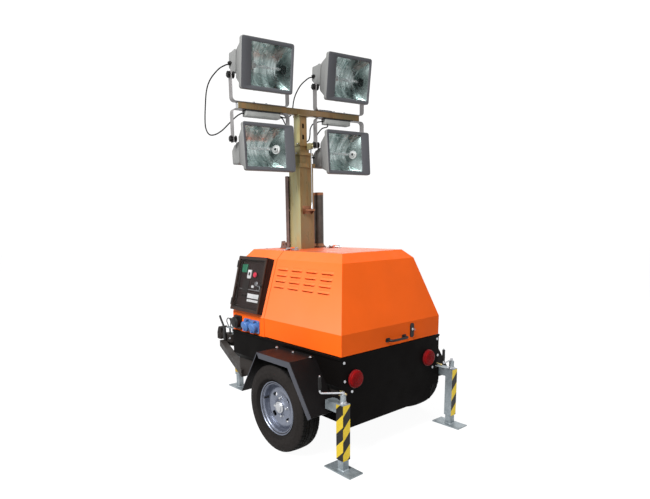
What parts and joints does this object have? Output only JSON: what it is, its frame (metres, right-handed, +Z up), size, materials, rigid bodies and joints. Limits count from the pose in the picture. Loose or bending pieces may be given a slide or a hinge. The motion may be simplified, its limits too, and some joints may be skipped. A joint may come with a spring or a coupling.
{
  "type": "mobile light tower",
  "caption": "Single-axle trailer with an orange canopy, telescopic mast, four tilting floodlights, control panel, sockets and three jack legs.",
  "frame": {"origin": "bottom centre of the whole object's bounding box, on the ground", "axes": "+X forward to the drawbar, +Y left, +Z up"},
  "size_m": [2.514, 1.426, 2.7508],
  "materials": {
    "orange_paint": "gloss",
    "black_paint": "satin",
    "fender_sheet": "satin",
    "black_plastic": "satin",
    "engine_metal": "matte",
    "tank_plastic": "satin",
    "stack_steel": "satin",
    "lamp_grey": "satin",
    "lamp_glass": "gloss",
    "door_glass": "gloss",
    "galvanised": "satin",
    "yellow_zinc": "satin",
    "wheel_steel": "satin",
    "tyre_rubber": "matte",
    "cable_rubber": "satin",
    "blue_plastic": "gloss",
    "red_lens": "gloss"
  },
  "bodies": {
    "trailer": {"lower_body": "black_paint", "canopy_front": "orange_paint", "engine_generator": "engine_metal", "control_box": "black_plastic", "power_inlet": "black_plastic", "socket_pair": "blue_plastic", "tail_light_left": "red_lens", "tail_light_right": "red_lens", "chassis_left": "black_paint", "chassis_right": "black_paint", "rear_beam": "black_paint", "fuel_tank": "tank_plastic", "axle": "black_paint", "fender_left": "fender_sheet", "fender_right": "fender_sheet", "tow_coupling": "black_paint", "handbrake_lever": "black_paint", "front_leg": "galvanised", "front_crank": "galvanised", "mast_outer": "yellow_zinc", "exhaust_stack": "stack_steel", "hood_hinge_left": "wheel_steel", "hood_hinge_right": "wheel_steel"},
    "hood": {"hood": "orange_paint", "hood_handle": "black_plastic", "hood_latch": "black_plastic"},
    "panel_door": {"panel_door": "black_plastic", "panel_window": "door_glass"},
    "wheel_left": {"tyre_left": "tyre_rubber", "rim_left": "wheel_steel"},
    "wheel_right": {"tyre_right": "tyre_rubber", "rim_right": "wheel_steel"},
    "rear_arm_left": {"rear_arm_left": "galvanised", "rear_leg_left": "galvanised", "rear_crank_left": "galvanised"},
    "rear_arm_right": {"rear_arm_right": "galvanised", "rear_leg_right": "galvanised", "rear_crank_right": "galvanised"},
    "rear_foot_left": {"rear_foot_left": "galvanised"},
    "rear_foot_right": {"rear_foot_right": "galvanised"},
    "front_foot": {"front_foot": "galvanised"},
    "mast_section_2": {"mast_section_2": "yellow_zinc"},
    "mast_section_3": {"mast_section_3": "yellow_zinc"},
    "mast_head": {"mast_section_4": "yellow_zinc", "crossbar": "yellow_zinc", "cable_upper_left": "cable_rubber", "cable_upper_right": "cable_rubber", "cable_lower_left": "cable_rubber", "cable_lower_right": "cable_rubber", "cable_mast": "cable_rubber"},
    "lamp_upper_left": {"lamp_upper_left": "lamp_grey", "lamp_upper_left_glass": "lamp_glass"},
    "lamp_upper_right": {"lamp_upper_right": "lamp_grey", "lamp_upper_right_glass": "lamp_glass"},
    "lamp_lower_left": {"lamp_lower_left": "lamp_grey", "lamp_lower_left_glass": "lamp_glass"},
    "lamp_lower_right": {"lamp_lower_right": "lamp_grey", "lamp_lower_right_glass": "lamp_glass"}
  },
  "joints": [
    {"name": "hood_hinge", "type": "hinge", "parent": "trailer", "child": "hood", "pos_m": [-0.248, 0, 1.325], "axis": [0, 1, 0], "range_deg": [0, 45]},
    {"name": "panel_door_hinge", "type": "hinge", "parent": "trailer", "child": "panel_door", "pos_m": [0.165, 0.47071, 1.06121], "axis": [0, 0.258, -0.9661], "range_deg": [0, 110]},
    {"name": "wheel_left_spin", "type": "hinge", "parent": "trailer", "child": "wheel_left", "pos_m": [-0.643, 0.6295, 0.298], "axis": [0, 1, 0], "continuous": true},
    {"name": "wheel_right_spin", "type": "hinge", "parent": "trailer", "child": "wheel_right", "pos_m": [-0.643, -0.6295, 0.298], "axis": [0, 1, 0], "continuous": true},
    {"name": "rear_arm_left_slide", "type": "slide", "parent": "trailer", "child": "rear_arm_left", "axis": [0, 1, 0], "range_m": [0, 0.4]},
    {"name": "rear_arm_right_slide", "type": "slide", "parent": "trailer", "child": "rear_arm_right", "axis": [0, -1, 0], "range_m": [0, 0.4]},
    {"name": "rear_foot_left_jack", "type": "slide", "parent": "rear_arm_left", "child": "rear_foot_left", "axis": [0, 0, 1], "range_m": [-0.25, 0.06]},
    {"name": "rear_foot_right_jack", "type": "slide", "parent": "rear_arm_right", "child": "rear_foot_right", "axis": [0, 0, 1], "range_m": [-0.25, 0.06]},
    {"name": "front_foot_jack", "type": "slide", "parent": "trailer", "child": "front_foot", "axis": [0, 0, 1], "range_m": [-0.2, 0.06]},
    {"name": "mast_extend_2", "type": "slide", "parent": "trailer", "child": "mast_section_2", "axis": [0, 0, 1], "range_m": [0, 1.1]},
    {"name": "mast_extend_3", "type": "slide", "parent": "mast_section_2", "child": "mast_section_3", "axis": [0, 0, 1], "range_m": [0, 1.1]},
    {"name": "mast_extend_4", "type": "slide", "parent": "mast_section_3", "child": "mast_head", "axis": [0, 0, 1], "range_m": [0, 1.1]},
    {"name": "lamp_upper_left_tilt", "type": "hinge", "parent": "mast_head", "child": "lamp_upper_left", "pos_m": [-0.06589, 0.33768, 2.531], "axis": [0.1374, 0.9905, 0], "range_deg": [-40, 40]},
    {"name": "lamp_upper_right_tilt", "type": "hinge", "parent": "mast_head", "child": "lamp_upper_right", "pos_m": [-0.16211, -0.35568, 2.531], "axis": [0.1374, 0.9905, 0], "range_deg": [-40, 40]},
    {"name": "lamp_lower_left_tilt", "type": "hinge", "parent": "mast_head", "child": "lamp_lower_left", "pos_m": [-0.06589, 0.33768, 2.105], "axis": [0.1374, 0.9905, 0], "range_deg": [-40, 30]},
    {"name": "lamp_lower_right_tilt", "type": "hinge", "parent": "mast_head", "child": "lamp_lower_right", "pos_m": [-0.16211, -0.35568, 2.105], "axis": [0.1374, 0.9905, 0], "range_deg": [-40, 30]}
  ],
  "couplings": [
    {"joint": "mast_extend_3", "follows": "mast_extend_2", "ratio": 1},
    {"joint": "mast_extend_4", "follows": "mast_extend_2", "ratio": 1}
  ]
}
